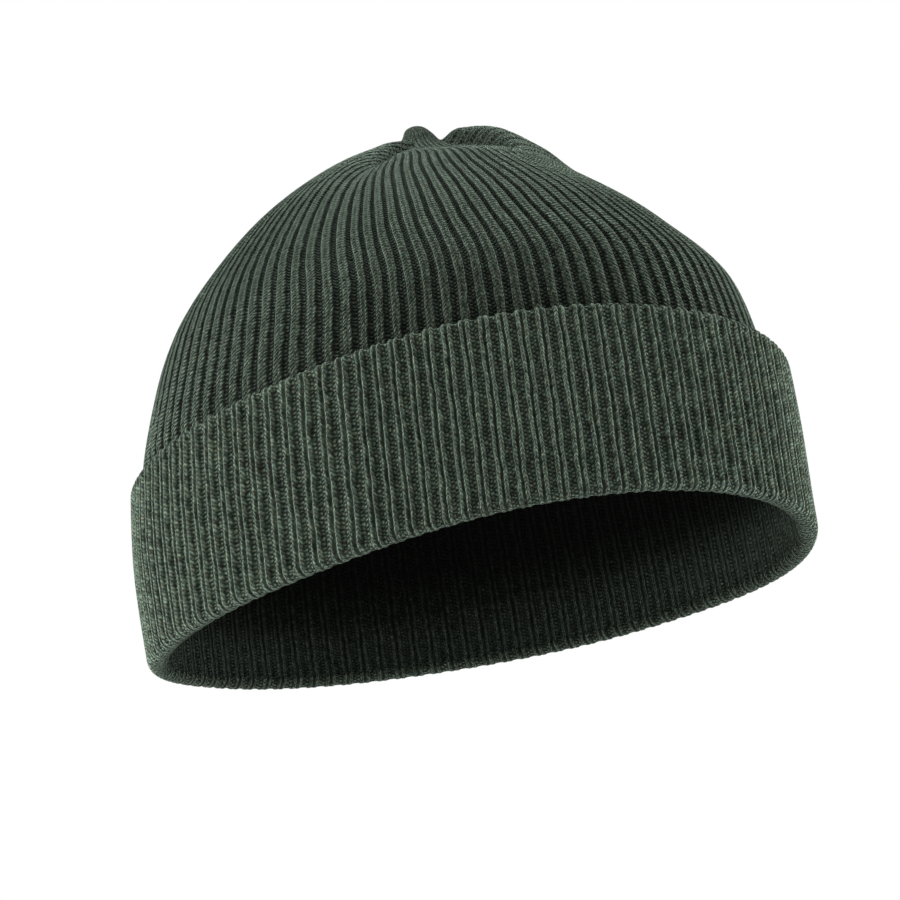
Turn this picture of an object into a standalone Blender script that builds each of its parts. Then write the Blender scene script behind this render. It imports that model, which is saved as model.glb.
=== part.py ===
"""Watch cap: a rib-knit cap with a turned-up cuff and a four-dart crown.

Frame: metres, +Z up, front of the cap towards -Y, origin at the centre of the opening at the rim.
The knit is a corrugated wall: where a rib stands out on one face, the other face has a groove.
Two pieces: the crown, a hollow dome that runs down inside the cuff, and the cuff, which turns under
at the rim and stands up outside the crown.
"""
import math

import bpy
import numpy as np

# Sizes in metres
head_width = 0.1580
head_length = 0.2020
cap_height = 0.1500
cuff_height = 0.0530
knit_thickness = 0.0028
rib_height = 0.0010
layer_gap = 0.0003
hem_clearance = 0.0025

# Counts, and what has no length
rib_count = 100
head_squareness = 2.12
front_fullness = 0.025
cuff_twist_ribs = 0.44
inner_rib_share = 0.7
rib_fade_radius = 0.8
columns_per_rib = 2
cuff_rib_shift = 0.5
flare_power = 1.5
tip_thickness = 1.6

# Height and radius are shares of the cap height and of the wall's half sizes at the rim.
# Side and back are how far the section's centre lies towards +X and towards the back, as shares of
# the head length.
# Bulge is the rise of a plain gore between its darts, lobe the rise of the first gore, which stands
# up beside the tip, hollow how far the last gore is sunk below it, and crease the depth of a dart,
# all as shares of the cap height.
#    height radius side   back    bulge  lobe   hollow crease
crown_sections = [
    (0.020, 1.000, 0.000, 0.000, 0.000, 0.000, 0.000, 0.000),
    (0.200, 0.986, 0.000, 0.000, 0.000, 0.000, 0.000, 0.000),
    (0.360, 0.960, 0.000, 0.000, 0.000, 0.000, 0.000, 0.000),
    (0.506, 0.906, 0.000, -0.005, 0.000, 0.000, 0.000, 0.000),
    (0.654, 0.772, -0.003, 0.010, 0.002, 0.000, 0.002, 0.003),
    (0.784, 0.576, -0.004, 0.015, 0.008, 0.002, 0.006, 0.010),
    (0.858, 0.429, 0.001, 0.007, 0.016, 0.030, 0.014, 0.018),
    (0.908, 0.270, 0.008, -0.002, 0.030, 0.056, 0.022, 0.022),
    (0.936, 0.140, 0.012, -0.012, 0.036, 0.043, 0.016, 0.016),
    (0.958, 0.066, 0.014, -0.017, 0.014, 0.002, 0.004, 0.006),
    (0.978, 0.046, 0.014, -0.016, 0.000, 0.000, 0.000, 0.000),
    (0.994, 0.026, 0.012, -0.014, 0.000, 0.000, 0.000, 0.000),
    (1.000, 0.000, 0.011, -0.012, 0.000, 0.000, 0.000, 0.000),
]

# Darts run from the tip down the crown. Azimuth is in degrees from the front towards +X.
# Depth scales the crease of the dart, and fullness the lobe, bulge or hollow of the gore after it.
#            azimuth  depth  fullness
crown_darts = [
    (11.0, 0.10, 1.00),
    (101.0, 1.00, 0.80),
    (191.0, 1.00, 0.66),
    (288.0, 1.00, 1.00),
]
lobe_rise = 0.09
lobe_fall = 0.40
lobe_power = 1.5
gore_power = 0.8
dart_width = 0.10

# Round the cap from the front towards +X: the rim's height and the hem's height as shares of the
# cuff height, and the air behind the hem and the rim's tuck inwards as shares of the hem clearance.
#              azimuth  rim     hem     air   tuck
cuff_stations = [
    (0.0, 0.036, 1.036, 1.10, 0.00),
    (45.0, -0.030, 0.940, 1.20, 0.30),
    (90.0, 0.016, 0.944, 1.30, 0.00),
    (135.0, 0.070, 1.020, 1.00, 0.00),
    (180.0, 0.056, 1.038, 0.90, 0.10),
    (225.0, -0.026, 1.006, 0.10, 0.80),
    (270.0, -0.036, 1.036, 0.40, 0.30),
    (315.0, 0.028, 1.086, 0.45, 0.00),
]
tuck_height = 0.60

# Where the rows of faces lie. On the crown a place is counted in rows of the crown's sections, so
# 1.65 is between its second row and its third. The lower rows and the cuff's are shares of the way up.
crown_lower_rows = [0.34, 0.62]
crown_outer_rows = [1.65, 2.40, 3.10, 3.75, 4.35, 4.90, 5.55, 6.30]
crown_top_rows = [7.0, 8.0, 9.2, 10.6]
crown_inner_rows = [1.0, 2.0, 3.2, 4.4, 5.6]
cuff_outer_rows = [0.33, 0.66]
fold_steps = 5
hem_round = 0.35
sharp_degrees = 25.0


def smooth_table(keys, values, at):
    """Monotone cubic through a table, so no row is overshot."""
    keys = np.asarray(keys, float)
    values = np.asarray(values, float)
    at = np.asarray(at, float)
    step = np.diff(keys)
    slope = np.diff(values) / step
    tangent = np.zeros_like(values)
    for i in range(1, len(values) - 1):
        if slope[i - 1] * slope[i] > 0.0:
            w1 = 2.0 * step[i] + step[i - 1]
            w2 = step[i] + 2.0 * step[i - 1]
            tangent[i] = (w1 + w2) / (w1 / slope[i - 1] + w2 / slope[i])
    tangent[0] = slope[0]
    tangent[-1] = slope[-1]
    i = np.clip(np.searchsorted(keys, at) - 1, 0, len(step) - 1)
    h = step[i]
    t = np.clip((at - keys[i]) / h, 0.0, 1.0)
    return (
        values[i] * (1 + 2 * t) * (1 - t) ** 2
        + tangent[i] * h * t * (1 - t) ** 2
        + values[i + 1] * t * t * (3 - 2 * t)
        + tangent[i + 1] * h * t * t * (t - 1)
    )


def around_table(column, azimuth):
    """Smooth closed curve through one column of the cuff stations."""
    rows = np.array(cuff_stations)
    count = len(rows)
    place = np.mod(np.degrees(azimuth), 360.0) * count / 360.0
    i = np.floor(place).astype(int)
    t = place - i
    value = rows[:, column]
    before, here = value[(i - 1) % count], value[i % count]
    after, beyond = value[(i + 1) % count], value[(i + 2) % count]
    return here + 0.5 * t * (
        after - before
        + t * (2 * before - 5 * here + 4 * after - beyond + t * (3 * (here - after) + beyond - before))
    )


def head_oval(azimuth, half_width, half_length):
    """Plan curve of the head and its outward normal."""
    power = 2.0 / head_squareness
    side = np.sign(np.sin(azimuth)) * np.abs(np.sin(azimuth)) ** power
    front = np.sign(np.cos(azimuth)) * np.abs(np.cos(azimuth)) ** power
    x = half_width * side * (1.0 + front_fullness * front)
    y = -half_length * front
    nx = np.sign(side) * np.abs(side) ** (head_squareness - 1.0) / half_width
    ny = -np.sign(front) * np.abs(front) ** (head_squareness - 1.0) / half_length
    size = np.hypot(nx, ny)
    return x, y, nx / size, ny / size


def rib_directions(count, shift):
    """Directions of evenly spaced columns, moved on by a shift counted in ribs.

    The first column of the crown lies on the first dart, and every gore holds the same number of
    evenly spaced ribs.
    """
    ribs = np.arange(count) * (rib_count / count) + shift
    turns = np.radians(np.arange(-360.0, 1080.5, 0.5))
    x, y, nx, ny = head_oval(turns, head_width / 2 + knit_thickness, head_length / 2 + knit_thickness)
    length = np.concatenate([[0.0], np.cumsum(np.hypot(np.diff(x), np.diff(y)))])
    gores = len(crown_darts)
    gore_ribs = rib_count / gores
    gore = np.floor(ribs / gore_ribs).astype(int)
    share = ribs / gore_ribs - gore
    darts = np.radians([dart[0] for dart in crown_darts])
    start = darts[gore % gores] + 2.0 * math.pi * (gore // gores)
    end = darts[(gore + 1) % gores] + 2.0 * math.pi * ((gore + 1) // gores)
    start_length = np.interp(start, turns, length)
    end_length = np.interp(end, turns, length)
    return np.interp(start_length + (end_length - start_length) * share, length, turns)


def dart_shape(azimuth):
    """Shares of the bulge, the lobe, the hollow and the crease in each direction."""
    degrees = np.mod(np.degrees(azimuth), 360.0)
    full = np.zeros_like(degrees)
    lobe = np.zeros_like(degrees)
    sunk = np.zeros_like(degrees)
    crease = np.zeros_like(degrees)
    for i, (start, depth, fullness) in enumerate(crown_darts):
        end, end_depth, _ = crown_darts[(i + 1) % len(crown_darts)]
        span = np.mod(end - start, 360.0)
        across = np.mod(degrees - start, 360.0) / span
        inside = across < 1.0
        across = np.clip(across, 0.0, 1.0)
        if i == 0:
            rise = 1.0 - np.exp(-((across / lobe_rise) ** lobe_power))
            fall = 1.0 - np.exp(-(((1.0 - across) / lobe_fall) ** lobe_power))
            lobe = np.where(inside, fullness * rise * fall, lobe)
        elif i < len(crown_darts) - 1:
            full = np.where(inside, fullness * np.sin(np.pi * across) ** gore_power, full)
        else:
            sunk = np.where(inside, fullness * np.sin(np.pi * across) ** gore_power, sunk)
        fold = depth * np.exp(-((across / dart_width) ** 2))
        fold = fold + end_depth * np.exp(-(((1.0 - across) / dart_width) ** 2))
        crease = np.where(inside, fold, crease)
    return full, lobe, sunk, crease


def section(row):
    """The crown's sections, read at any place along the table."""
    table = np.array(crown_sections)
    return [smooth_table(np.arange(len(table)), column, row) for column in table.T]


def tuck(azimuth, z):
    """How far the wall is drawn in towards the rim."""
    low = np.clip(1.0 - z / (tuck_height * cuff_height), 0.0, None)
    return around_table(4, azimuth) * hem_clearance * low ** flare_power


def crown_surface(azimuth, row):
    """Points of the crown's smooth outer face for arrays of direction and place in the table."""
    height, radius, side, back, bulge, rise, hollow, crease = section(row)
    half_width = head_width / 2 + knit_thickness
    half_length = head_length / 2 + knit_thickness
    x, y, nx, ny = head_oval(azimuth, half_width, half_length)
    full, lobe, sunk, dart = dart_shape(azimuth)
    z = cap_height * (height + bulge * full + rise * lobe - hollow * sunk - crease * dart)
    inwards = tuck(azimuth, z)
    across = x * radius + side * head_length - nx * inwards
    along = y * radius + back * head_length - ny * inwards
    return np.stack([across, along, z], axis=-1)


def crown_offset(azimuth, row, distance):
    """Crown points moved along the surface normal, which is measured on the smooth face."""
    turn = 1e-3
    climb = 1e-2
    across = crown_surface(azimuth + turn, row) - crown_surface(azimuth - turn, row)
    along = crown_surface(azimuth, row + climb) - crown_surface(azimuth, row - climb)
    normal = np.cross(across, along)
    normal /= np.linalg.norm(normal, axis=-1, keepdims=True)
    return crown_surface(azimuth, row) + normal * np.asarray(distance)[..., None]


def wall_point(azimuth, z, distance):
    """Point on the lower wall at a height, moved outwards in plan by a distance."""
    table = np.array(crown_sections)
    heights = table[:, 0] * cap_height
    radius = smooth_table(heights, table[:, 1], z)
    half_width = (head_width / 2 + knit_thickness) * radius
    half_length = (head_length / 2 + knit_thickness) * radius
    side = smooth_table(heights, table[:, 2], z) * head_length
    back = smooth_table(heights, table[:, 3], z) * head_length
    x, y, nx, ny = head_oval(azimuth, half_width, half_length)
    distance = distance - tuck(azimuth, z)
    return np.stack([x + nx * distance + side, y + ny * distance + back, z + 0.0 * x], axis=-1)


def rib_wave(count):
    """Corrugation, -1 in a groove and +1 on a rib, for the columns of one ring."""
    return np.where(np.arange(count) % columns_per_rib == 0, -1.0, 1.0)


def make_piece(name, rings, closed_loop, colour):
    """Skin a list of rings, each an array of points, into one closed mesh object.

    Neighbouring rings may differ in their number of points by a whole factor. With closed_loop the
    last ring joins the first. Without it each end closes on a ring of one point.
    """
    vertices = np.concatenate(rings)
    starts = np.cumsum([0] + [len(ring) for ring in rings])
    faces = []
    pairs = list(range(len(rings) - 1)) + ([len(rings) - 1] if closed_loop else [])
    for i in pairs:
        j = (i + 1) % len(rings)
        if len(rings[i]) > 1 or len(rings[j]) > 1:
            faces += bridge(starts[i], len(rings[i]), starts[j], len(rings[j]))
    mesh = bpy.data.meshes.new(name)
    mesh.from_pydata([tuple(v) for v in vertices.tolist()], [], faces)
    mesh.validate()
    mesh.shade_smooth()
    mesh.set_sharp_from_angle(angle=math.radians(sharp_degrees))
    mesh.materials.append(knit_material(name, colour))
    piece = bpy.data.objects.new(name, mesh)
    bpy.context.scene.collection.objects.link(piece)
    return piece


def bridge(first, first_count, second, second_count):
    """Triangles between two rings that start at the same direction."""
    faces = []
    if first_count >= second_count:
        ratio = first_count // second_count
        for j in range(second_count):
            here = second + j
            after = second + (j + 1) % second_count
            for k in range(ratio):
                a = first + (j * ratio + k) % first_count
                b = first + (j * ratio + k + 1) % first_count
                faces.append((a, b, here))
            corner = first + ((j + 1) * ratio) % first_count
            if after != here:
                faces.append((corner, after, here))
        return faces
    ratio = second_count // first_count
    for j in range(first_count):
        here = first + j
        after = first + (j + 1) % first_count
        for k in range(ratio):
            a = second + (j * ratio + k) % second_count
            b = second + (j * ratio + k + 1) % second_count
            faces.append((here, b, a))
        corner = second + ((j + 1) * ratio) % second_count
        if after != here:
            faces.append((here, after, corner))
    return faces


def knit_material(name, colour):
    """Matt wool yarn."""
    material = bpy.data.materials.new(name)
    material.use_nodes = True
    shader = material.node_tree.nodes["Principled BSDF"]
    shader.inputs["Base Color"].default_value = (*colour, 1.0)
    shader.inputs["Roughness"].default_value = 0.9
    shader.inputs["Metallic"].default_value = 0.0
    return material


def rim_height(azimuth):
    return around_table(1, azimuth) * cuff_height


def hem_height(azimuth):
    return around_table(2, azimuth) * cuff_height


def fold_radius():
    """Outer radius of the turned-under rim, which holds two layers and the gap between them."""
    return knit_thickness + layer_gap / 2


def crown_rings():
    """Rings of the crown: up the outside, over the tip, and down the inside to the lower edge."""
    fine = rib_count * columns_per_rib
    wide = rib_count
    half_rib = rib_height / 2
    inner_rib = half_rib * inner_rib_share
    rings = []

    plain = rib_directions(wide, 0.0)
    edge = rim_height(plain) + fold_radius() + layer_gap
    start = crown_surface(plain, crown_outer_rows[0])[:, 2]
    rings.append(wall_point(plain, edge, -half_rib))
    for share in crown_lower_rows:
        rings.append(wall_point(plain, edge + (start - edge) * share, -half_rib))

    ribbed = rib_directions(fine, 0.0)
    wave = rib_wave(fine)
    for row in crown_outer_rows:
        fade = min(1.0, section(row)[1] / rib_fade_radius)
        rings.append(crown_offset(ribbed, row, half_rib * (wave * fade - 1.0)))
    counts = [wide, wide // 2, wide // 4, wide // 4]
    for row, count in zip(crown_top_rows, counts):
        rings.append(crown_offset(rib_directions(count, 0.0), row, np.full(count, -half_rib)))
    height, _, side, back = crown_sections[-1][:4]
    tip = np.array([[side * head_length, back * head_length, height * cap_height]])
    rings.append(tip)

    rings.append(tip - np.array([[0.0, 0.0, knit_thickness * tip_thickness]]))
    for row, count in zip(reversed(crown_top_rows[:2]), reversed(counts[:2])):
        rings.append(crown_offset(rib_directions(count, 0.0), row, np.full(count, -knit_thickness)))
    for row in reversed(crown_inner_rows):
        fade = min(1.0, section(row)[1] / rib_fade_radius)
        rings.append(crown_offset(ribbed, row, inner_rib * (wave * fade + 1.0) - knit_thickness))
    edge = rim_height(ribbed) + fold_radius() + layer_gap
    rings.append(wall_point(ribbed, edge, inner_rib * (wave + 1.0) - knit_thickness))
    return rings


def cuff_rings():
    """Rings round the cuff's section: fold, outer face, hem, and the face against the crown.

    The cuff shows the knit's other face, so its ribs lie half a rib aside from the crown's, and they
    lean by the cuff's twist on their way up.
    """
    fine = rib_count * columns_per_rib
    wide = rib_count
    half_rib = rib_height / 2
    inner_rib = half_rib * inner_rib_share
    wave = rib_wave(fine)
    radius = fold_radius()
    rings = []

    # Under the rim, from the inside of the cap to the outside
    for step in range(fold_steps + 1):
        turn = math.pi * step / fold_steps
        outside = step / fold_steps
        around = rib_directions(fine, cuff_rib_shift)
        ridge = inner_rib + (half_rib - inner_rib) * outside
        reach = radius - ridge * (1.0 - wave)
        distance = layer_gap / 2 - reach * math.cos(turn)
        z = rim_height(around) + radius - reach * math.sin(turn)
        rings.append(wall_point(around, z, distance))

    # Up the outer face to the hem
    outer = layer_gap + knit_thickness
    for share in cuff_outer_rows + [1.0]:
        around = rib_directions(fine, cuff_rib_shift + cuff_twist_ribs * share)
        low = rim_height(around) + radius
        high = hem_height(around) - knit_thickness * hem_round * (1.0 if share == 1.0 else 0.0)
        air = around_table(3, around) * hem_clearance * share ** flare_power
        distance = outer + air - half_rib * (1.0 - wave)
        rings.append(wall_point(around, low + (high - low) * share, distance))

    # Over the hem
    around = rib_directions(fine, cuff_rib_shift + cuff_twist_ribs)
    air = around_table(3, around) * hem_clearance
    middle = layer_gap + knit_thickness / 2
    rings.append(wall_point(around, hem_height(around), middle + air))

    # Down the face against the crown
    for share in (1.0, cuff_outer_rows[0]):
        around = rib_directions(wide, cuff_rib_shift + cuff_twist_ribs * share)
        low = rim_height(around) + radius
        high = hem_height(around) - knit_thickness * hem_round * (1.0 if share == 1.0 else 0.0)
        air = around_table(3, around) * hem_clearance * share ** flare_power
        rings.append(wall_point(around, low + (high - low) * share, layer_gap + air))
    around = rib_directions(wide, cuff_rib_shift)
    rings.append(wall_point(around, rim_height(around) + radius, layer_gap))
    return rings


def clear_scene():
    for item in list(bpy.data.objects):
        bpy.data.objects.remove(item, do_unlink=True)


def main():
    clear_scene()
    make_piece("crown", crown_rings(), True, (0.045, 0.060, 0.045))
    make_piece("cuff", cuff_rings(), True, (0.050, 0.066, 0.050))


main()
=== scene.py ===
"""Watch cap: the dressed model. Two knit shells replace the plain solids of the crown and the cuff.

Every rib is a pair of raised wales with a groove between them and a sunk purl valley beside them, as
in a two by two rib. Stitches lie in the material and are placed by a map that counts ribs and courses.
Metres, +Z up, front of the cap towards -Y, as in the frame.
"""
import math

import bpy
import numpy as np
from mathutils import Matrix, Vector


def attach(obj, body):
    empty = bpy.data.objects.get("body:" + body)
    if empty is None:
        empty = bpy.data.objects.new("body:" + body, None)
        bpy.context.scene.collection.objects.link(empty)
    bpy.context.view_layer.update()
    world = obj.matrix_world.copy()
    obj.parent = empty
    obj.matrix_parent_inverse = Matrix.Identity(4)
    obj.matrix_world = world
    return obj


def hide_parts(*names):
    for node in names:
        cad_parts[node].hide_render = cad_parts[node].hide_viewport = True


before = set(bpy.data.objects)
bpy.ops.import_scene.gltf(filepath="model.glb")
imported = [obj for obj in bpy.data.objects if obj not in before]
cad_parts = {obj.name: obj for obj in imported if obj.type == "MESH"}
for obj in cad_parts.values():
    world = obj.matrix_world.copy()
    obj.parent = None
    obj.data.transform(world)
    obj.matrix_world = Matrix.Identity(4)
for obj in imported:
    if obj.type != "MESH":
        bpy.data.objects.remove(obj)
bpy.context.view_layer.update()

# Sizes in metres, the same as the solids have
head_width = 0.1580
head_length = 0.2020
cap_height = 0.1500
cuff_height = 0.0530
knit_thickness = 0.0028
layer_gap = 0.0003
hem_clearance = 0.0025
head_squareness = 2.12
front_fullness = 0.025

# The ribs: their height in metres, and the share of it left on the inside, under the rim and at the
# hem, to which it falls over the last share of the cuff's height
rib_count = 100
rib_relief = 0.0016
inner_relief = 0.30
fold_relief = 0.08
hem_relief = 0.45
hem_band = 0.05

# The height of one stitch, and how far the cuff's ribs lean from rim to hem, counted in ribs
course_height = 0.00125
cuff_twist_ribs = 0.44

# How far the tops of the wales stand out from the smooth faces, and the gap between crown and fold
crown_proud = 0.0003
cuff_proud = 0.0002
edge_gap = 0.00002

# Across one rib, as shares of it: how far each wale's middle lies from the rib's middle, the wale's
# half width, and the relief left between the two wales
crown_wales = (0.145, 0.118, 0.35)
cuff_wales = (0.180, 0.128, 0.00)
wale_slope = 0.09

# Each face of the knit: its wales, the painted shade of its valleys, the tone between two wales, how
# far across a wale that tone reaches, and the tone of its yarn. The tone between two wales is a height
# for the bump and through it painted shade. Crown and cuff are one yarn; the crown's lower tone is
# painted shade.
crown_face = (crown_wales, 0.58, 0.46, 0.40, 0.43)
cuff_face = (cuff_wales, 0.95, 0.12, -0.35, 0.82)

# A crown rib narrower than the first width has fuller wales, by the factor at most, and one narrower
# than the second width is lower too
loose_rib_width = 0.0049
most_fullness = 1.22
full_relief_width = 0.0042

# Ribs begin to end in the darts at the first share of the radius at the rim, and the last share of
# them reaches the tip
dart_radius = 0.38
dart_start_sharpness = 8.0
tip_share = 0.12

# The groove along a dart, which is at its full depth once the gores have narrowed by the last share
dart_groove_depth = 0.0012
dart_groove_width = 0.0016
dart_groove_start = 0.25

# Shares of the radius between which the grooves of the darts and the relief of the ribs fade out
dart_groove_fade = (0.04, 0.16)
tip_relief_fade = (0.02, 0.12)

# Hand and wear. Each sway of the ribs: its reach in ribs, the height of one wave, and the waves round
# the cap. Each slow wave: its share, its waves round the cap, its turn for each metre, and its start.
rib_sways = [(0.020, 0.0230, 38), (0.012, 0.0085, 69)]
slow_waves = [(0.5, 3.0, 41.0, 2.0), (0.3, 7.0, -73.0, 3.4), (0.2, 13.0, 29.0, 5.8)]
slow_reach_ribs = 0.03

# Where the sway fades in: in dart radii from the tip, and as shares of the cuff's height from the rim
crown_sway_fade = (0.2, 0.6)
cuff_sway_fade = (0.0, 0.15)

# Painted shade, laid into the colour. On the inner face: its share at the rim, then each further share
# and the heights above the rim between which it is added. Under the fold: its share, and the shares of
# the way round between which it fades. Over the hem: its share at the back.
rim_shade = 0.03
inside_shades = [(0.77, 0.003, 0.016), (0.20, 0.010, 0.034)]
fold_shade = 0.42
fold_shade_fade = (0.35, 0.80)
hem_shade = 0.3

# Mesh columns across one rib, from the middle of one valley to the middle of the next
crown_columns = [0.00, 0.13, 0.23, 0.35, 0.50, 0.65, 0.77, 0.87]
cuff_columns = [0.00, 0.10, 0.19, 0.30, 0.40, 0.50, 0.60, 0.70, 0.81, 0.90]

# Mesh rows of the cuff, and the shares of its height at which the rows of its back lie
fold_rows = 14
face_rows = 62
hem_rows = 6
back_shares = (1.0, 0.8, 0.5, 0.2, 0.0)

# Where the crown's lowest mesh rows lie in its table of sections, outside, under the cuff, and inside
hidden_row = 2.2
mouth_row = 0.6

# Height and radius as shares of the cap height and of the half sizes at the rim; side and back are
# the section's centre as shares of the head length; and, as shares of the cap height, the rise of a
# plain gore, the rise of the gore that stands up beside the tip, the sinking of the gore in front of
# it, and the crease of a dart.
#    height radius side   back    bulge  lobe   hollow crease
crown_sections = [
    (0.020, 1.000, 0.000, 0.000, 0.000, 0.000, 0.000, 0.000),
    (0.200, 0.986, 0.000, 0.000, 0.000, 0.000, 0.000, 0.000),
    (0.360, 0.960, 0.000, 0.000, 0.000, 0.000, 0.000, 0.000),
    (0.506, 0.906, 0.000, -0.005, 0.000, 0.000, 0.000, 0.000),
    (0.654, 0.772, -0.003, 0.010, 0.002, 0.000, 0.002, 0.003),
    (0.784, 0.576, -0.004, 0.015, 0.008, 0.002, 0.006, 0.010),
    (0.858, 0.429, 0.001, 0.007, 0.016, 0.030, 0.014, 0.018),
    (0.908, 0.270, 0.008, -0.002, 0.030, 0.056, 0.022, 0.022),
    (0.936, 0.140, 0.012, -0.012, 0.036, 0.043, 0.016, 0.016),
    (0.958, 0.066, 0.014, -0.017, 0.014, 0.002, 0.004, 0.006),
    (0.978, 0.046, 0.014, -0.016, 0.000, 0.000, 0.000, 0.000),
    (0.994, 0.026, 0.012, -0.014, 0.000, 0.000, 0.000, 0.000),
    (1.000, 0.000, 0.011, -0.012, 0.000, 0.000, 0.000, 0.000),
]

# Azimuth of each dart in degrees from the front towards +X, the depth of its crease, and the
# fullness of the gore after it. The first gore is the lobe and the last is the hollow one.
crown_darts = [(11.0, 0.10, 1.00), (101.0, 1.00, 0.80), (191.0, 1.00, 0.66), (288.0, 1.00, 1.00)]
lobe_rise = 0.09
lobe_fall = 0.40
lobe_power = 1.5
gore_power = 0.8
dart_width = 0.10

# The lobe's steep side has lower ribs, up to the second of these shares of the radius
lobe_smoothing = 0.6
lobe_smoothing_fade = (0.42, 0.60)

# Round the cap from the front towards +X: the rim's and the hem's height as shares of the cuff
# height, and the air behind the hem and the rim's tuck inwards as shares of the hem clearance
cuff_stations = [
    (0.0, 0.036, 1.036, 1.10, 0.00),
    (45.0, -0.030, 0.940, 1.20, 0.30),
    (90.0, 0.016, 0.944, 1.30, 0.00),
    (135.0, 0.070, 1.020, 1.00, 0.00),
    (180.0, 0.056, 1.038, 0.90, 0.10),
    (225.0, -0.026, 1.006, 0.10, 0.80),
    (270.0, -0.036, 1.036, 0.40, 0.30),
    (315.0, 0.028, 1.086, 0.45, 0.00),
]
rim_column = 1
hem_column = 2
air_column = 3
tuck_column = 4

# How the air grows up the cuff, and how the tuck, which ends at a share of the cuff's height, grows
# down the wall
air_power = 1.5
tuck_power = 1.5
tuck_height = 0.60

# How far the hem's edge dips over a valley, for each unit of its profile, and the courses between the
# mesh rows over the hem
hem_scallop = 0.0004
hem_row_courses = 0.4

# How deep the inner face lies under the tip, in thicknesses of the knit
tip_depth = 1.6

# The floor's height and half size in metres, the strength of the fill, and for each soft box its name,
# azimuth and elevation in degrees, distance and size in metres, and power in watts
floor_height = -0.6
floor_reach = 6.0
world_fill = 0.42
soft_boxes = [
    ("left", -133.0, 25.0, 1.6, 1.2, 45.0),
    ("right", 32.0, 25.0, 1.6, 1.2, 36.0),
    ("front", -60.0, 40.0, 1.8, 1.4, 8.0),
]

# Worked out from the sizes, but for the plan's radius, which is about the mean of the two half sizes
gore_ribs = rib_count // len(crown_darts)
half_width = head_width / 2 + knit_thickness
half_length = head_length / 2 + knit_thickness
plan_radius = 0.092
fold_radius = knit_thickness + layer_gap / 2
half_knit = knit_thickness * 0.5


def smooth_table(keys, values, at):
    """Monotone cubic through a table, so no row is overshot."""
    step = np.diff(keys)
    slope = np.diff(values) / step
    tangent = np.zeros_like(values)
    for i in range(1, len(values) - 1):
        if slope[i - 1] * slope[i] > 0.0:
            w1 = 2.0 * step[i] + step[i - 1]
            w2 = step[i] + 2.0 * step[i - 1]
            tangent[i] = (w1 + w2) / (w1 / slope[i - 1] + w2 / slope[i])
    tangent[0] = slope[0]
    tangent[-1] = slope[-1]
    i = np.clip(np.searchsorted(keys, at) - 1, 0, len(step) - 1)
    h = step[i]
    t = np.clip((at - keys[i]) / h, 0.0, 1.0)
    return (
        values[i] * (1 + 2 * t) * (1 - t) ** 2
        + tangent[i] * h * t * (1 - t) ** 2
        + values[i + 1] * t * t * (3 - 2 * t)
        + tangent[i + 1] * h * t * t * (t - 1)
    )


def smooth_step(low, high, value):
    """Rises from 0 to 1 between two values, with level ends."""
    t = np.clip((value - low) / (high - low), 0.0, 1.0)
    return t * t * (3.0 - 2.0 * t)


def around_table(column, azimuth):
    """Smooth closed curve through one column of the cuff stations."""
    rows = np.array(cuff_stations)
    count = len(rows)
    place = np.mod(np.degrees(azimuth), 360.0) * count / 360.0
    i = np.floor(place).astype(int) % count
    t = place - np.floor(place)
    value = rows[:, column]
    before, here = value[(i - 1) % count], value[i]
    after, beyond = value[(i + 1) % count], value[(i + 2) % count]
    return here + 0.5 * t * (
        after - before
        + t * (2 * before - 5 * here + 4 * after - beyond + t * (3 * (here - after) + beyond - before))
    )


def head_oval(azimuth, across, along):
    """Plan curve of the head and its outward normal."""
    power = 2.0 / head_squareness
    side = np.sign(np.sin(azimuth)) * np.abs(np.sin(azimuth)) ** power
    front = np.sign(np.cos(azimuth)) * np.abs(np.cos(azimuth)) ** power
    x = across * side * (1.0 + front_fullness * front)
    y = -along * front
    nx = np.sign(side) * np.abs(side) ** (head_squareness - 1.0) / across
    ny = -np.sign(front) * np.abs(front) ** (head_squareness - 1.0) / along
    size = np.hypot(nx, ny)
    return x, y, nx / size, ny / size


def rib_directions(ribs):
    """Direction of each place counted in ribs. Every gore holds the same number of even ribs."""
    grid_step = 0.5
    grid = np.radians(np.arange(-360.0, 1080.0 + grid_step, grid_step))
    x, y, _, _ = head_oval(grid, half_width, half_length)
    length = np.concatenate([[0.0], np.cumsum(np.hypot(np.diff(x), np.diff(y)))])
    gore = np.floor(ribs / gore_ribs).astype(int)
    share = ribs / gore_ribs - gore
    darts = np.radians([dart[0] for dart in crown_darts])
    count = len(darts)
    start = darts[gore % count] + 2.0 * math.pi * (gore // count)
    end = darts[(gore + 1) % count] + 2.0 * math.pi * ((gore + 1) // count)
    start_length = np.interp(start, grid, length)
    end_length = np.interp(end, grid, length)
    return np.interp(start_length + (end_length - start_length) * share, length, grid)


def dart_shape(azimuth):
    """Shares of the bulge, the lobe, the hollow and the crease in each direction."""
    degrees = np.mod(np.degrees(azimuth), 360.0)
    full = np.zeros_like(degrees)
    lobe = np.zeros_like(degrees)
    sunk = np.zeros_like(degrees)
    crease = np.zeros_like(degrees)
    for i, (start, depth, fullness) in enumerate(crown_darts):
        end, end_depth, _ = crown_darts[(i + 1) % len(crown_darts)]
        span = (end - start) % 360.0
        across = np.mod(degrees - start, 360.0) / span
        inside = across < 1.0
        across = np.clip(across, 0.0, 1.0)
        if i == 0:
            rise = 1.0 - np.exp(-((across / lobe_rise) ** lobe_power))
            fall = 1.0 - np.exp(-(((1.0 - across) / lobe_fall) ** lobe_power))
            lobe = np.where(inside, fullness * rise * fall, lobe)
        elif i < len(crown_darts) - 1:
            full = np.where(inside, fullness * np.sin(np.pi * across) ** gore_power, full)
        else:
            sunk = np.where(inside, fullness * np.sin(np.pi * across) ** gore_power, sunk)
        fold = depth * np.exp(-((across / dart_width) ** 2))
        fold = fold + end_depth * np.exp(-(((1.0 - across) / dart_width) ** 2))
        crease = np.where(inside, fold, crease)
    return full, lobe, sunk, crease


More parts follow.
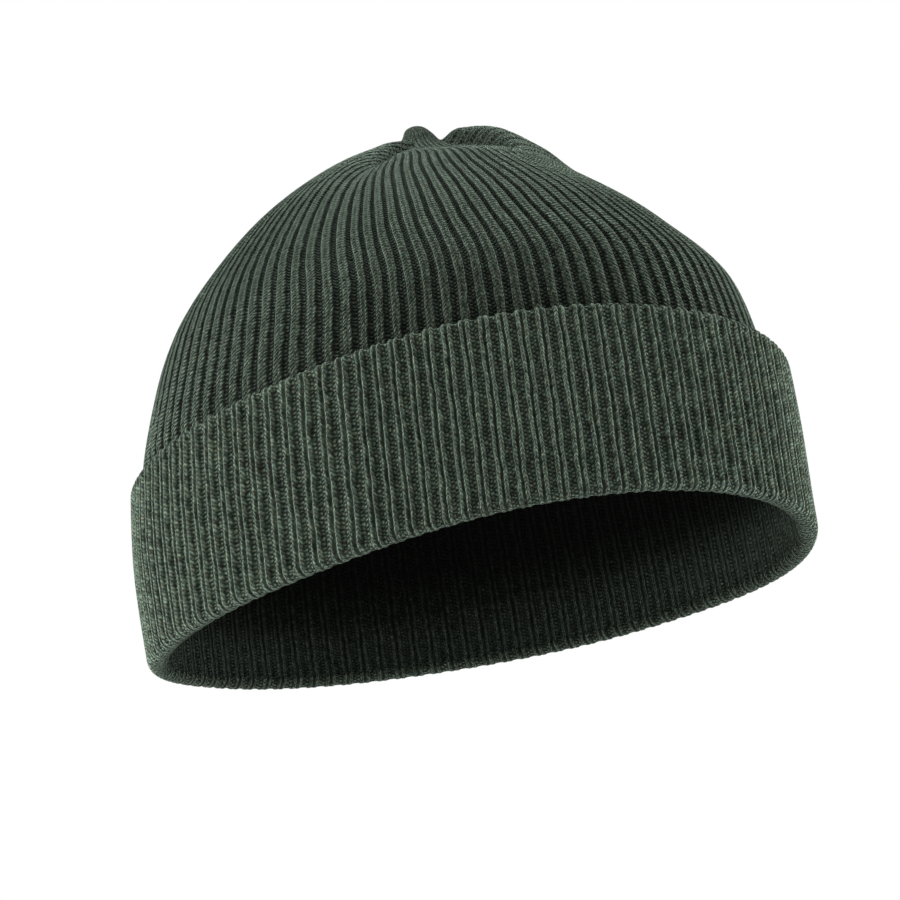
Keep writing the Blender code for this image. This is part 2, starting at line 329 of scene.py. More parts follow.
def section(row):
    """The crown's sections, read at any place along the table."""
    table = np.array(crown_sections)
    return [smooth_table(np.arange(len(table)), column, row) for column in table.T]


def tuck(azimuth, z):
    """How far the wall is drawn in towards the rim."""
    low = np.clip(1.0 - z / (tuck_height * cuff_height), 0.0, None)
    return around_table(tuck_column, azimuth) * hem_clearance * low ** tuck_power


def crown_surface(azimuth, row):
    """Points of the crown's smooth outer face for arrays of direction and place in the table."""
    height, radius, side, back, bulge, rise, hollow, crease = section(row)
    x, y, nx, ny = head_oval(azimuth, half_width, half_length)
    full, lobe, sunk, dart = dart_shape(azimuth)
    z = cap_height * (height + bulge * full + rise * lobe - hollow * sunk - crease * dart)
    inwards = tuck(azimuth, z)
    across = x * radius + side * head_length - nx * inwards
    along = y * radius + back * head_length - ny * inwards
    return np.stack([across, along, z], axis=-1)


def crown_offset(azimuth, row, distance):
    """Crown points moved along the surface normal, which is measured on the smooth face."""
    turn = 1e-3
    climb = 1e-2
    across = crown_surface(azimuth + turn, row) - crown_surface(azimuth - turn, row)
    along = crown_surface(azimuth, row + climb) - crown_surface(azimuth, row - climb)
    normal = np.cross(across, along)
    normal /= np.linalg.norm(normal, axis=-1, keepdims=True)
    return crown_surface(azimuth, row) + normal * np.asarray(distance)[..., None]


def wall_point(azimuth, z, distance):
    """Point on the lower wall at a height, moved outwards in plan by a distance."""
    table = np.array(crown_sections)
    heights = table[:, 0] * cap_height
    radius = smooth_table(heights, table[:, 1], z)
    side = smooth_table(heights, table[:, 2], z) * head_length
    back = smooth_table(heights, table[:, 3], z) * head_length
    x, y, nx, ny = head_oval(azimuth, half_width * radius, half_length * radius)
    distance = distance - tuck(azimuth, z)
    return np.stack([x + nx * distance + side, y + ny * distance + back, z + 0.0 * x], axis=-1)


def rib_profile(ribs, wales):
    """Relief across the ribs: 1 on a wale, lower between the two wales, -1 in a valley."""
    offset, wale_half, between = wales
    away = np.abs(np.mod(ribs, 1.0) - 0.5)
    place = (away - offset) / wale_half
    wale = np.sqrt(np.clip(1.0 - place * place, 0.0, 1.0))
    edge = offset + wale_half
    base = between - (between + 1.0) * smooth_step(edge - wale_slope, edge + wale_slope, away)
    return base + (1.0 - base) * wale


def widen(ribs, wales, factor):
    """Map places that make the pair of wales take up more of each rib, and the valley less."""
    edge = wales[0] + wales[1]
    wide = edge * factor
    place = np.mod(ribs, 1.0) - 0.5
    away = np.abs(place)
    outer = edge + (away - wide) * (0.5 - edge) / (0.5 - wide)
    return ribs - place + np.sign(place) * np.where(away < wide, away / factor, outer)


def wander(azimuth, height):
    """Slow unevenness of hand and wear, about -1 to 1."""
    total = 0.0
    for share, around, upwards, start in slow_waves:
        total = total + share * np.sin(around * azimuth + upwards * height + start)
    return total


def sway(ribs, height):
    """Sideways drift of the ribs, counted in ribs. Neighbours drift apart, and the ring closes."""
    total = 0.0
    for reach, wave_height, waves in rib_sways:
        total = total + reach * np.sin(2.0 * math.pi * (height / wave_height + ribs * waves / rib_count))
    return total


def inner_painted_shade(azimuth, z):
    """How much painted shade a point of the inner face gets, from nearly 0 at the rim to 1 deep in the
    cap.
    """
    above = z - around_table(rim_column, azimuth) * cuff_height
    depth = rim_shade
    for share, low, high in inside_shades:
        depth = depth + share * smooth_step(low, high, above)
    return depth


class Ring:
    """One ring of a shell: its points, its place counted in ribs seen from the face before and the
    face after each point, its course count, and its painted shade, which grows inside the cap and also
    turns the knit to its inner face."""

    def __init__(self, points, ribs_after, ribs_before, courses, inside):
        self.points = points
        self.ribs_after = ribs_after
        self.ribs_before = ribs_before
        self.courses = courses + 0.0 * ribs_after
        self.inside = inside


def join_rings(first, second, first_start, second_start):
    """Faces and map corners between two rings with as many points, or one with twice as many."""
    m, n = len(first.points), len(second.points)
    if m < n:
        faces, corners = join_rings(second, first, second_start, first_start)
        return [f[::-1] for f in faces], [c[::-1] for c in corners]
    k = np.arange(n)
    after = (k + 1) % n
    if m == n:
        parts = [[(first, k, 0), (first, after, 1), (second, after, 1), (second, k, 0)]]
    else:
        middle = 2 * k + 1
        end = (2 * k + 2) % m
        parts = [
            [(first, 2 * k, 0), (first, middle, 0), (second, k, 0)],
            [(first, middle, 0), (second, after, 1), (second, k, 0)],
            [(first, middle, 0), (first, end, 1), (second, after, 1)],
        ]

    def corner(ring, index, side):
        ribs = ring.ribs_after if side == 0 else ring.ribs_before
        return np.stack([ribs[index], ring.courses[index]], axis=-1)

    faces = []
    maps = []
    for part in parts:
        columns = [index + (first_start if ring is first else second_start) for ring, index, _ in part]
        faces.append(np.stack(columns, axis=-1))
        maps.append(np.stack([corner(*item) for item in part], axis=1))
    return faces, maps


def fan(first, second, first_start, second_start):
    """Triangles from a ring to a single point, in the turning sense of the rest of the shell."""
    opening = len(first.points) == 1
    ring, ring_start = (second, second_start) if opening else (first, first_start)
    tip, tip_start = (first, first_start) if opening else (second, second_start)
    k = np.arange(len(ring.points))
    after = (k + 1) % len(k)
    middle = (ring.ribs_after[k] + ring.ribs_before[after]) / 2.0
    here = np.stack([ring.ribs_after[k], ring.courses[k]], axis=-1)
    there = np.stack([ring.ribs_before[after], ring.courses[after]], axis=-1)
    top = np.stack([middle, tip.courses[0] + 0.0 * middle], axis=-1)
    face = np.stack([k + ring_start, after + ring_start, tip_start + 0 * k], axis=-1)
    maps = np.stack([here, there, top], axis=1)
    if opening:
        return face[:, ::-1], maps[:, ::-1]
    return face, maps


def shell(name, rings):
    """Skin rings into one closed mesh with its knit map. The last ring joins the first, and a ring
    of one point closes a face of the shell."""
    points = [ring.points for ring in rings]
    inside = [ring.inside + np.zeros(len(ring.points)) for ring in rings]
    starts = np.cumsum([0] + [len(p) for p in points])
    faces = []
    maps = []
    for i in range(len(rings)):
        j = (i + 1) % len(rings)
        if len(points[i]) == 1 and len(points[j]) == 1:
            continue
        if len(points[i]) == 1 or len(points[j]) == 1:
            fan_faces, fan_maps = fan(rings[i], rings[j], starts[i], starts[j])
            faces.append(fan_faces)
            maps.append(fan_maps)
            continue
        more_faces, more_maps = join_rings(rings[i], rings[j], starts[i], starts[j])
        faces += more_faces
        maps += more_maps
    polygons = [polygon for block in faces for polygon in block.tolist()]
    mesh = bpy.data.meshes.new(name)
    mesh.from_pydata(np.concatenate(points).tolist(), [], polygons)
    layer = mesh.uv_layers.new(name="knit")
    flat = np.concatenate([block.reshape(-1, 2) for block in maps])
    layer.data.foreach_set("uv", flat.astype(np.float32).ravel())
    # Painted shade of each point, which the material also uses to turn the knit to its inner face
    depth = mesh.attributes.new("inside", "FLOAT", "POINT")
    depth.data.foreach_set("value", np.concatenate(inside).astype(np.float32))
    mesh.shade_smooth()
    piece = bpy.data.objects.new(name, mesh)
    bpy.context.scene.collection.objects.link(piece)
    return piece


def mesh_columns(shares):
    """Places of all mesh columns round the cap, counted in ribs."""
    return (np.arange(rib_count)[:, None] + np.array(shares)[None, :]).ravel()


def tip_length_table():
    """Distance left to the tip along the crown, at even places in its table of sections."""
    places = 601
    first_degrees = 10.0
    degrees_apart = 45.0
    rows = np.linspace(0.0, len(crown_sections) - 1.0, places)
    azimuths = np.radians(np.arange(first_degrees, 360.0, degrees_apart))
    lines = [crown_surface(azimuth, rows) for azimuth in azimuths]
    steps = np.mean([np.linalg.norm(np.diff(line, axis=0), axis=-1) for line in lines], axis=0)
    left = np.concatenate([np.cumsum(steps[::-1])[::-1], [0.0]])
    return rows, left


def dart_narrowing(radius):
    """How much of a gore's knit goes on inwards: 1 below the darts, falling to 0 at the tip."""
    reach = radius / dart_radius
    return reach / (1.0 + reach ** dart_start_sharpness) ** (1.0 / dart_start_sharpness)


def dart_groove(across, radius, narrowing):
    """Depth of the groove in which the ribs of two gores meet."""
    to_dart = (1.0 - np.abs(across)) * radius * plan_radius * math.pi / 4.0
    deep = dart_groove_depth * smooth_step(0.0, dart_groove_start, 1.0 - narrowing)
    deep = deep * smooth_step(*dart_groove_fade, radius)
    return deep * np.exp(-((to_dart / dart_groove_width) ** 2))


def crown_relief(ribs, radius, width):
    """Height of the ribs in a ring: lower where they are narrow, at the tip and on the lobe's side."""
    fade = float(smooth_step(*tip_relief_fade, radius))
    relief = rib_relief * min(1.0, width / full_relief_width) * fade
    steep = np.exp(-((ribs / gore_ribs / (2.0 * lobe_rise)) ** 2))
    steep = steep * (1.0 - smooth_step(*lobe_smoothing_fade, radius))
    return relief * (1.0 - lobe_smoothing * steep)


def crown_ring(ribs, row, outer, lengths):
    """One ring of the crown. Its ribs run along the middle of their gore and end in the darts."""
    radius = float(section(row)[1])
    left = float(np.interp(row, *lengths))
    fade = smooth_step(*crown_sway_fade, radius / dart_radius)
    azimuth = rib_directions(ribs + sway(ribs, left) * fade)

    # The knit map
    narrowing = dart_narrowing(radius)
    kept = tip_share + (1.0 - tip_share) * narrowing
    gore = np.floor(ribs / gore_ribs)
    across = 2.0 * (ribs / gore_ribs - gore) - 1.0
    middle = (gore + 0.5) * gore_ribs
    ribs_after = middle + across * 0.5 * gore_ribs * kept
    on_dart = across <= -1.0 + 1e-9
    ribs_before = np.where(on_dart, middle - gore_ribs + 0.5 * gore_ribs * kept, ribs_after)
    shorten = 1.0 - (1.0 - np.cos(across * math.pi / 4.0)) * (1.0 - narrowing)
    courses = (lengths[1][0] - left * shorten) / course_height

    # The relief. The inner face shows the knit's other side, half a rib aside.
    width = radius * half_width * math.pi / 2.0 / (gore_ribs * kept)
    relief = crown_relief(ribs, radius, width)
    groove = dart_groove(across, radius, narrowing)
    uneven = slow_reach_ribs * wander(azimuth, left)
    if outer:
        fuller = float(np.clip(loose_rib_width / width, 1.0, most_fullness))
        ribs_after = widen(ribs_after, crown_wales, fuller)
        ribs_before = widen(ribs_before, crown_wales, fuller)
        profile = rib_profile(ribs_after + uneven, crown_wales)
        points = crown_offset(azimuth, row, crown_proud + relief * 0.5 * (profile - 1.0) - groove)
        return Ring(points, ribs_after, ribs_before, courses, 0.0)
    profile = rib_profile(ribs_after + 0.5 + uneven, cuff_wales)
    points = crown_offset(azimuth, row, inner_relief * relief * (1.0 - profile) - knit_thickness - groove)
    return Ring(points, ribs_after + 0.5, ribs_before + 0.5, courses, inner_painted_shade(azimuth, points[:, 2]))


def crown_edge_ring(ribs, outer):
    """The crown's lower edge, where it meets the fold of the cuff."""
    azimuth = rib_directions(ribs)
    edge = around_table(rim_column, azimuth) * cuff_height + fold_radius + edge_gap
    ribs_before = np.where(ribs == 0.0, float(rib_count), ribs)
    if outer:
        points = wall_point(azimuth, edge, -rib_relief / 2 + 0.0 * ribs)
        return Ring(points, ribs, ribs_before, 0.0, 0.0)
    profile = rib_profile(ribs + 0.5, cuff_wales)
    points = wall_point(azimuth, edge, inner_relief * rib_relief * (1.0 - profile) - knit_thickness)
    return Ring(points, ribs + 0.5, ribs_before + 0.5, 0.0, inner_painted_shade(azimuth, points[:, 2]))


def crown_rings(zones, columns, outer, lengths):
    """Rings through some zones, each given as its start and end by their distance from the tip, the
    spacing of its rings, and how many mesh columns go to one of its columns."""
    rings = []
    for start, end, spacing, step in zones:
        count = max(1, int(round(abs(start - end) / spacing)))
        left = start + (end - start) * np.arange(count) / count
        for row in np.interp(-left, -lengths[1], lengths[0]):
            rings.append(crown_ring(columns[::step], row, outer, lengths))
    return rings


def make_crown():
    """The crown's shell: up the outer face, over the tip, and down the inner face."""
    lengths = tip_length_table()
    columns = mesh_columns(crown_columns)
    hidden = float(np.interp(hidden_row, *lengths))
    mouth = float(np.interp(mouth_row, *lengths))
    #    start   end     spacing step
    outer_zones = [
        (hidden, 0.074, 0.0024, 1),
        (0.074, 0.034, 0.0009, 1),
        (0.034, 0.012, 0.0006, 2),
        (0.012, 0.0008, 0.0004, 4),
    ]
    inner_zones = [
        (0.014, 0.034, 0.0022, 4),
        (0.034, mouth, 0.0035, 2),
    ]
    tip = crown_surface(np.array([0.0]), len(crown_sections) - 1.0)
    under_tip = tip - np.array([[0.0, 0.0, knit_thickness * tip_depth]])
    last = lengths[1][0] / course_height
    rings = [crown_edge_ring(columns, True)]
    rings += crown_rings(outer_zones, columns, True, lengths)
    rings.append(Ring(tip, np.zeros(1), np.zeros(1), last, 0.0))
    # Full painted shade under the tip
    rings.append(Ring(under_tip, np.zeros(1), np.zeros(1), last, 1.0))
    rings += crown_rings(inner_zones, columns, False, lengths)
    rings.append(crown_edge_ring(columns[::2], False))
    return shell("crown_shell", rings)


def cuff_directions(columns, share):
    """The cuff shows the knit's other face, so its ribs lie half a rib aside from the crown's."""
    drift = sway(columns, cuff_height * share) * smooth_step(*cuff_sway_fade, share)
    return rib_directions(columns + 0.5 + cuff_twist_ribs * share + drift)


def cuff_wall(columns, share):
    """Height of a share of the way up the cuff, and the air behind the cuff there."""
    azimuth = cuff_directions(columns, share)
    low = around_table(rim_column, azimuth) * cuff_height + fold_radius
    high = around_table(hem_column, azimuth) * cuff_height - half_knit
    air = around_table(air_column, azimuth) * hem_clearance * share ** air_power
    return low + (high - low) * share, air


def cuff_ring(columns, share, z, distance, courses, inside):
    """One ring of the cuff. Share is how far up the outer face it lies, which sets its twist."""
    azimuth = cuff_directions(columns, share)
    ribs_before = np.where(columns == 0.0, float(rib_count), columns)
    return Ring(wall_point(azimuth, z, distance), columns, ribs_before, courses, inside)


def make_cuff():
    """The cuff's shell: under the rim, up the outer face, over the hem and down its back."""
    columns = mesh_columns(cuff_columns)
    valley = 1.0 - rib_profile(columns, cuff_wales)
    fold_courses = math.pi * fold_radius / course_height
    face_courses = cuff_height / course_height
    rings = []

    # Under the rim, from the inside of the cap to the outside
    rim = around_table(rim_column, cuff_directions(columns, 0.0)) * cuff_height
    for step in range(fold_rows):
        share = step / fold_rows
        turn = math.pi * share
        ends = inner_relief + (0.5 - inner_relief) * share
        relief = rib_relief * (ends + (fold_relief - ends) * math.sin(turn))
        reach = fold_radius + cuff_proud * share - relief * valley
        distance = layer_gap / 2 - reach * math.cos(turn)
        z = rim + fold_radius - reach * math.sin(turn)
        # Painted shade under the fold, fading out as the fold comes round
        inside = fold_shade * (1.0 - smooth_step(*fold_shade_fade, share))
        rings.append(cuff_ring(columns, 0.0, z, distance, fold_courses * (1.0 - share), inside))

    # Up the outer face
    for step in range(face_rows + 1):
        share = step / face_rows
        z, air = cuff_wall(columns, share)
        kept = 1.0 - (1.0 - hem_relief) * smooth_step(1.0 - hem_band, 1.0, share)
        distance = layer_gap + knit_thickness + air + cuff_proud - rib_relief * 0.5 * kept * valley
        rings.append(cuff_ring(columns, share, z, distance, -face_courses * share, 0.0))

    # Over the hem
    hem, air = cuff_wall(columns, 1.0)
    outer_half = half_knit + cuff_proud - rib_relief * 0.5 * hem_relief * valley
    for step in range(1, hem_rows):
        turn = math.pi * step / hem_rows
        half = outer_half if turn < math.pi / 2 else half_knit
        distance = layer_gap + half_knit + air + half * math.cos(turn)
        z = hem + (half_knit - hem_scallop * valley) * math.sin(turn)
        courses = -face_courses - step * hem_row_courses
        # Painted shade growing towards the hem's back
        rings.append(cuff_ring(columns, 1.0, z, distance, courses, hem_shade * step / hem_rows))

    # Down the face against the crown
    for share in back_shares:
        z, air = cuff_wall(columns, share)
        # Full painted shade on the face against the crown
        rings.append(cuff_ring(columns, share, z, layer_gap + air, -face_courses * share, 1.0))
    return shell("cuff_shell", rings)


class Graph:
    """Short names for adding nodes to one material."""

    def __init__(self, name):
        self.material = bpy.data.materials.new(name)
        self.material.use_nodes = True
        self.nodes = self.material.node_tree.nodes
        self.links = self.material.node_tree.links
        self.shader = self.nodes["Principled BSDF"]

    def put(self, socket, value):
        if isinstance(value, bpy.types.NodeSocket):
            self.links.new(value, socket)
        elif value is not None:
            socket.default_value = value

    def math(self, operation, a, b=None, c=None):
        node = self.nodes.new("ShaderNodeMath")
        node.operation = operation
        for socket, value in zip(node.inputs, (a, b, c)):
            self.put(socket, value)
        return node.outputs[0]

    def times(self, first, *others):
        """Product of several values."""
        for other in others:
            first = self.math("MULTIPLY", first, other)
        return first

    def remap(self, value, low, high, new_low, new_high, smooth=True):
        node = self.nodes.new("ShaderNodeMapRange")
        node.interpolation_type = "SMOOTHSTEP" if smooth else "LINEAR"
        for socket, number in zip(node.inputs, (value, low, high, new_low, new_high)):
            self.put(socket, number)
        return node.outputs[0]

    def noise(self, vector, scale, detail=2.0, roughness=0.5):
        node = self.nodes.new("ShaderNodeTexNoise")
        self.put(node.inputs["Vector"], vector)
        node.inputs["Scale"].default_value = scale
        node.inputs["Detail"].default_value = detail
        node.inputs["Roughness"].default_value = roughness
        return node.outputs["Fac"]

    def mix(self, factor, first, second):
        node = self.nodes.new("ShaderNodeMix")
        node.data_type = "RGBA"
        self.put(node.inputs[0], factor)
        self.put(node.inputs[6], first)
        self.put(node.inputs[7], second)
        return node.outputs[2]

    def scale(self, colour, factor):
        node = self.nodes.new("ShaderNodeVectorMath")
        node.operation = "SCALE"
        self.put(node.inputs[0], colour)
        self.put(node.inputs["Scale"], factor)
        return node.outputs[0]

    def push(self, value, noise, reach):
        """Move a map value by a noise, up to about half the reach each way."""
        return self.math("MULTIPLY_ADD", self.math("SUBTRACT", noise, 0.5), reach, value)

    def wave(self, phase):
        """A smooth ridge from 0 to 1 for each whole step of the phase."""
        cosine = self.math("COSINE", self.math("MULTIPLY", phase, 2.0 * math.pi))
        return self.math("MULTIPLY_ADD", cosine, -0.5, 0.5)

    def speckle(self, x, y, z):
        """One chance value for each stitch."""
        node = self.nodes.new("ShaderNodeTexWhiteNoise")
        self.put(node.inputs["Vector"], self.join(x, y, z))
        return node.outputs["Value"]

    def join(self, x, y, z):
        node = self.nodes.new("ShaderNodeCombineXYZ")
        for socket, value in zip(node.inputs, (x, y, z)):
            self.put(socket, value)
        return node.outputs[0]


# The map is pushed about by noise, so the yarn isn't laid exactly: the scale and detail of each noise,
# and its reach in ribs or courses
rib_noise = (300.0, 3.0)
rib_push = 0.13
course_noise = (420.0, 3.0)
course_push = 1.3

# A stitch on a wale: how far its strokes slant in courses, the tone between two of them, how square
# they are, the width and tone of the crease in the V, and where the wale's outer edge gets darker. These
# tones are heights for the bump, and through them painted shade in the colour.
stroke_slant = 0.9
stroke_gap_tone = 0.28
stroke_power = 0.7
crease_width = 0.22
crease_tone = 0.72
outer_edge_start = 0.45
outer_edge_tone = 0.14

# A bar in a valley: how far the two halves lie apart in courses, the tone of its ends, its height,
# and half the width of the change from wale to valley. Its tones are heights for the bump, and through
# them painted shade in the colour.
bar_stagger = 0.22
bar_end_tone = 0.40
bar_height = 0.95
valley_blend = 0.03

# The fibres: scale, detail and roughness of each noise, how much finer the teal yarn's place is, the
# fibres' height where a stitch's is 1, and the depth in metres that a height of 1 stands for
fuzz_noise = (1700.0, 4.0, 0.7)
patch_noise = (850.0, 2.0, 0.6)
olive_noise = (700.0, 3.0, 0.6)
teal_noise = (520.0, 3.0, 0.6)
teal_shift = 1.31
fuzz_height = 0.60
bump_distance = 0.0005

# Tones from dark to pale, and the values between which they change: the dips of a stitch, whole
# stitches, single fibres, and small patches. The dips' tones are painted light and shade by height.
dip_range = (0.06, 0.90)
painted_dip_tones = (0.22, 1.34)
stitch_tones = (0.46, 1.60)
fuzz_range = (0.32, 0.68)
fibre_tones = (0.50, 1.55)
patch_range = (0.34, 0.66)
patch_tones = (0.62, 1.38)

# The heather: its three yarns, and the noise values between which the second and third come in
green_yarn = (0.078, 0.106, 0.076, 1.0)
olive_yarn = (0.088, 0.092, 0.064, 1.0)
olive_range = (0.48, 0.66)
teal_yarn = (0.062, 0.106, 0.090, 1.0)
teal_range = (0.52, 0.68)
most_yarn_mix = 0.8

# Inside the cap: the depth at which the knit shows its other face only, and the deepest painted shade
face_change = 0.02
deepest_shade = 0.95

# The finish. The sheen has a base and a share that grows with the tone, painted shade included.
roughness_range = (0.3, 0.7)
knit_roughness = (0.86, 1.00)
knit_specular = 0.08
sheen_tint = (0.72, 0.95, 0.77, 1.0)
sheen_roughness = 0.30
sheen_base = 0.25
sheen_by_tone = 0.30

# The floor: scale and detail of its noise, the values between which it changes, and its two tones
floor_noise = (3.0, 2.0)
floor_range = (0.3, 0.7)
floor_tones = (0.78, 0.82)
floor_roughness = 0.9


def wale_stitches(g, ribs, courses, across, groove_tone, groove_reach):
    """Two strokes a stitch that meet in a V: their height, and how bright each bit of yarn is."""
    leg = g.math("MINIMUM", g.math("ABSOLUTE", across), 1.0)
    phase = g.math("SUBTRACT", courses, g.math("MULTIPLY", leg, stroke_slant))
    stroke = g.math("POWER", g.wave(phase), stroke_power)
    stroke = g.math("MULTIPLY_ADD", stroke, 1.0 - stroke_gap_tone, stroke_gap_tone)
    crease = g.remap(leg, 0.0, crease_width, crease_tone, 1.0)
    outer_edge = g.remap(across, outer_edge_start, 1.0, 1.0, outer_edge_tone)
    inner_edge = g.remap(across, -1.0, groove_reach, groove_tone, 1.0)
    half = g.math("FLOOR", g.math("MULTIPLY", ribs, 2.0))
    chance = g.speckle(g.math("FLOOR", phase), half, g.math("SIGN", across))
    return g.times(stroke, crease, outer_edge, inner_edge), chance


def purl_bars(g, ribs, courses, side, away, wale_edge):
    """Short bars across the valleys: their height, and how bright each bit of yarn is."""
    inner = g.math("DIVIDE", g.math("SUBTRACT", 0.5, away), g.math("SUBTRACT", 0.5, wale_edge))
    phase = g.math("MULTIPLY_ADD", g.math("SIGN", side), bar_stagger, courses)
    width = g.math("MULTIPLY_ADD", g.wave(inner), 1.0 - bar_end_tone, bar_end_tone)
    half = g.math("FLOOR", g.math("MULTIPLY", ribs, 2.0))
    chance = g.speckle(g.math("FLOOR", phase), half, g.math("FLOOR", g.math("MULTIPLY", inner, 2.0)))
    return g.times(g.wave(phase), width, bar_height), chance


def heather_yarn(g, place):
    """Colour of a heather yarn, mixed from three."""
    olive = g.remap(g.noise(place, *olive_noise), *olive_range, 0.0, most_yarn_mix)
    teal_place = g.scale(place, teal_shift)
    teal = g.remap(g.noise(teal_place, *teal_noise), *teal_range, 0.0, most_yarn_mix)
    return g.mix(teal, g.mix(olive, green_yarn, olive_yarn), teal_yarn)


def knit_material(name, face, back):
    """Heather wool in a two by two rib: V stitches on the wales and bars in the valleys."""
    g = Graph(name)
    # The inside attribute holds painted shade, and its first small share also turns the knit to its inner
    # face
    inside = g.nodes.new("ShaderNodeAttribute")
    inside.attribute_name = "inside"
    deep = inside.outputs["Fac"]
    pairs = zip(face[0][:2] + face[1:], back[0][:2] + back[1:])
    blended = [g.remap(deep, 0.0, face_change, *pair) for pair in pairs]
    offset, wale_half, painted_valley_shade, groove_tone, groove_reach, tone = blended

    # Place across a rib and along it, with the unevenness of the yarn
    uv = g.nodes.new("ShaderNodeUVMap")
    uv.uv_map = "knit"
    split = g.nodes.new("ShaderNodeSeparateXYZ")
    g.put(split.inputs[0], uv.outputs[0])
    place = g.nodes.new("ShaderNodeTexCoord").outputs["Object"]
    ribs = g.push(split.outputs[0], g.noise(place, *rib_noise), rib_push)
    courses = g.push(split.outputs[1], g.noise(place, *course_noise), course_push)
    side = g.math("SUBTRACT", g.math("FRACT", ribs), 0.5)
    away = g.math("ABSOLUTE", side)
    across = g.math("DIVIDE", g.math("SUBTRACT", away, offset), wale_half)
    wale_edge = g.math("ADD", offset, wale_half)

    # Stitches
    knit, knit_chance = wale_stitches(g, ribs, courses, across, groove_tone, groove_reach)
    purl, purl_chance = purl_bars(g, ribs, courses, side, away, wale_edge)
    past = g.math("SUBTRACT", away, wale_edge)
    on_wale = g.remap(past, -valley_blend, valley_blend, 1.0, 0.0)
    off_wale = g.math("SUBTRACT", 1.0, on_wale)
    height = g.math("ADD", g.times(knit, on_wale), g.times(purl, off_wale))
    chance = g.math("ADD", g.times(knit_chance, on_wale), g.times(purl_chance, off_wale))

    # Loose fibres
    fuzz = g.noise(place, *fuzz_noise)
    bump = g.nodes.new("ShaderNodeBump")
    bump.inputs["Strength"].default_value = 1.0
    bump.inputs["Distance"].default_value = bump_distance
    g.put(bump.inputs["Height"], g.math("MULTIPLY_ADD", fuzz, fuzz_height, height))
    g.put(g.shader.inputs["Normal"], bump.outputs[0])

    # Colour: painted shade, darker where the yarn dips, in the valleys and inside the cap, and paler on
    # the tops of stitches
    painted_dip_shade = g.remap(height, *dip_range, *painted_dip_tones, False)
    # Painted shade in the valleys
    valley = g.remap(on_wale, 0.0, 1.0, painted_valley_shade, 1.0, False)
    stitch = g.remap(chance, 0.0, 1.0, *stitch_tones, False)
    fibre = g.remap(fuzz, *fuzz_range, *fibre_tones, False)
    patch = g.remap(g.noise(place, *patch_noise), *patch_range, *patch_tones, False)
    # Painted shade inside the cap, under the fold and behind the hem
    depth = g.math("MULTIPLY_ADD", deep, -deepest_shade, 1.0)
    shade = g.times(painted_dip_shade, valley, fibre, patch, depth)
    # Crown and cuff share one yarn; the crown's lower yarn tone is painted shade
    yarn = g.scale(heather_yarn(g, place), tone)
    g.put(g.shader.inputs["Base Color"], g.scale(yarn, g.times(shade, stitch)))

    # Finish
    roughness = g.remap(fuzz, *roughness_range, *knit_roughness, False)
    g.put(g.shader.inputs["Roughness"], roughness)
    g.shader.inputs["Specular IOR Level"].default_value = knit_specular
    # The sheen weight follows the painted shade, and falls with it inside the cap
    sheen = g.math("MULTIPLY_ADD", shade, sheen_by_tone, sheen_base)
    g.put(g.shader.inputs["Sheen Weight"], g.times(depth, sheen))
    g.shader.inputs["Sheen Roughness"].default_value = sheen_roughness
    g.shader.inputs["Sheen Tint"].default_value = sheen_tint
    return g.material


def floor_material():
    """Pale, matt and slightly uneven."""
    g = Graph("floor_pale")
    place = g.nodes.new("ShaderNodeTexCoord").outputs["Object"]
    tone = g.remap(g.noise(place, *floor_noise), *floor_range, *floor_tones, False)
    g.put(g.shader.inputs["Base Color"], g.scale(g.join(1.0, 1.0, 1.0), tone))
    g.shader.inputs["Roughness"].default_value = floor_roughness
    return g.material


def make_floor():
    """A plain pale floor, well below the cap, which a head holds up."""
    signs = [(-1, -1), (1, -1), (1, 1), (-1, 1)]
    corners = [(floor_reach * x, floor_reach * y, floor_height) for x, y in signs]
    mesh = bpy.data.meshes.new("studio_floor")
    mesh.from_pydata(corners, [], [(0, 1, 2, 3)])
    mesh.materials.append(floor_material())
    floor = bpy.data.objects.new("studio_floor", mesh)
    bpy.context.scene.collection.objects.link(floor)


def make_world():
    """White behind the cap, and a soft even fill on it."""
    world = bpy.data.worlds.new("studio")
    world.use_nodes = True
    nodes, links = world.node_tree.nodes, world.node_tree.links
    background = nodes["Background"]
    background.inputs["Color"].default_value = (1.0, 1.0, 1.0, 1.0)
    path = nodes.new("ShaderNodeLightPath")
    strength = nodes.new("ShaderNodeMapRange")
    strength.inputs["To Min"].default_value = world_fill
    strength.inputs["To Max"].default_value = 1.0
    links.new(path.outputs["Is Camera Ray"], strength.inputs["Value"])
    links.new(strength.outputs[0], background.inputs["Strength"])
    bpy.context.scene.world = world


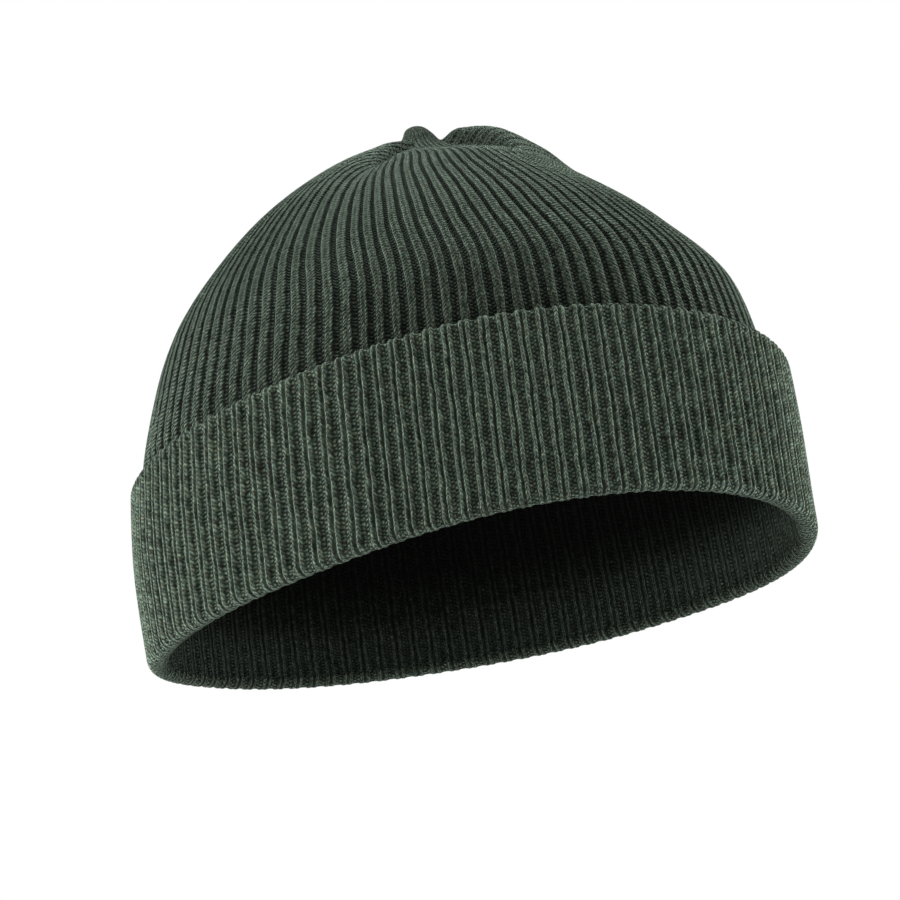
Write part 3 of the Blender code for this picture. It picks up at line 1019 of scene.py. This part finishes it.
def make_soft_box(name, azimuth, elevation, distance, size, power):
    """A square area light that looks at the middle of the cap."""
    a, e = math.radians(azimuth), math.radians(elevation)
    away = Vector((math.sin(a) * math.cos(e), -math.cos(a) * math.cos(e), math.sin(e)))
    data = bpy.data.lights.new(name, "AREA")
    data.shape = "SQUARE"
    data.size = size
    data.energy = power
    lamp = bpy.data.objects.new(name, data)
    lamp.location = away * distance + Vector((0.0, 0.0, cap_height / 2))
    lamp.rotation_euler = away.to_track_quat("Z", "Y").to_euler()
    bpy.context.scene.collection.objects.link(lamp)


def make_camera():
    """Seen from the front right of the wearer and a little from below, as in the photograph."""
    azimuth = math.radians(-51.16)
    below = math.radians(14.16)
    roll = math.radians(8.757)
    distance = 1.2077
    focal_pixels = 4137.6
    picture_pixels = 900.0
    origin_x, origin_y = 475.016, 605.851
    sensor = 36.0
    middle = picture_pixels / 2
    level = math.cos(below)
    back = Vector((math.sin(azimuth) * level, -math.cos(azimuth) * level, -math.sin(below)))
    right = Vector((math.cos(azimuth), math.sin(azimuth), 0.0))
    up = back.cross(right)
    tilted_right = right * math.cos(roll) - up * math.sin(roll)
    tilted_up = right * math.sin(roll) + up * math.cos(roll)
    aim = tilted_right * (middle - origin_x) / focal_pixels
    aim += tilted_up * (origin_y - middle) / focal_pixels - back
    axis_z = -aim.normalized()
    axis_x = tilted_up.cross(axis_z).normalized()
    axis_y = axis_z.cross(axis_x)
    turned = Matrix((axis_x, axis_y, axis_z)).transposed().to_4x4()
    data = bpy.data.cameras.new("camera")
    data.sensor_width = sensor
    data.lens = focal_pixels * sensor / picture_pixels
    data.clip_start = 0.01
    camera = bpy.data.objects.new("camera", data)
    camera.matrix_world = Matrix.Translation(back * distance) @ turned
    bpy.context.scene.collection.objects.link(camera)
    bpy.context.scene.camera = camera


def dress(piece, node, material):
    """Give a shell its material, and let it stand for a CAD node."""
    piece.data.materials.append(material)
    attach(piece, "root")
    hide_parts(node)


make_camera()
dress(make_crown(), "crown", knit_material("crown_wool", crown_face, cuff_face))
dress(make_cuff(), "cuff", knit_material("cuff_wool", cuff_face, cuff_face))
make_floor()
make_world()
for soft_box in soft_boxes:
    make_soft_box(*soft_box)
bpy.context.scene.view_settings.view_transform = "Standard"
